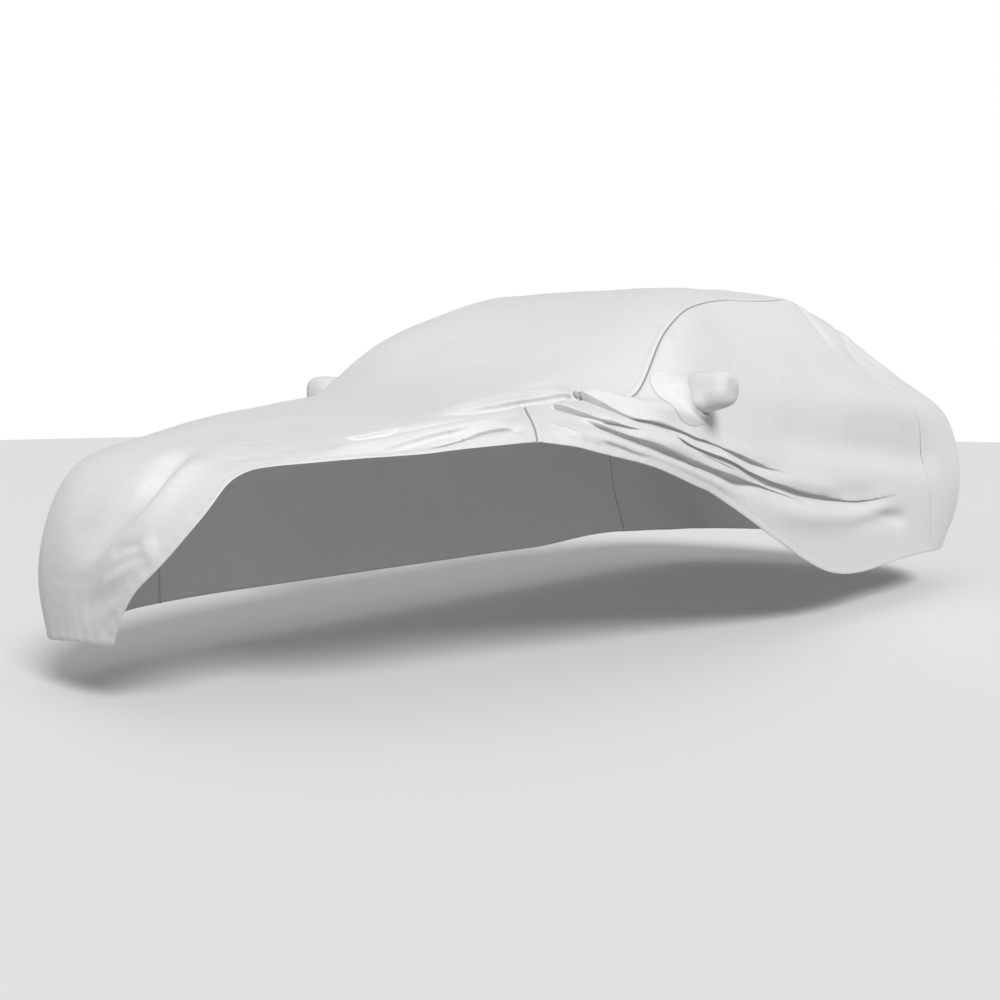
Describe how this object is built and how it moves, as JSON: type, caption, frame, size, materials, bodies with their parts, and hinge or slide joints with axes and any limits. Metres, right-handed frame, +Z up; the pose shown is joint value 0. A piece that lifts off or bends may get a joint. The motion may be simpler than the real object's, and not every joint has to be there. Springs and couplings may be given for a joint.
{
  "type": "car cover",
  "caption": "Fitted stretch-knit cover for a large saloon car: draped shell with mirror pockets, open underneath, hem lifted along the bonnet at the front left corner.",
  "frame": {"origin": "underside of the cloth at the crown of the roof, above the middle of the rear doors, where the cover rests on the car", "axes": "+X towards the nose, +Y to the left of the car, +Z up"},
  "size_m": [5.2619, 2.132, 1.3469],
  "materials": {
    "knit_cloth": "light silver-grey satin stretch knit"
  },
  "bodies": {
    "root": {"centre_panel": "knit_cloth", "side_panel_left": "knit_cloth", "side_panel_right": "knit_cloth", "mirror_pocket_left": "knit_cloth", "mirror_pocket_right": "knit_cloth"}
  },
  "joints": []
}
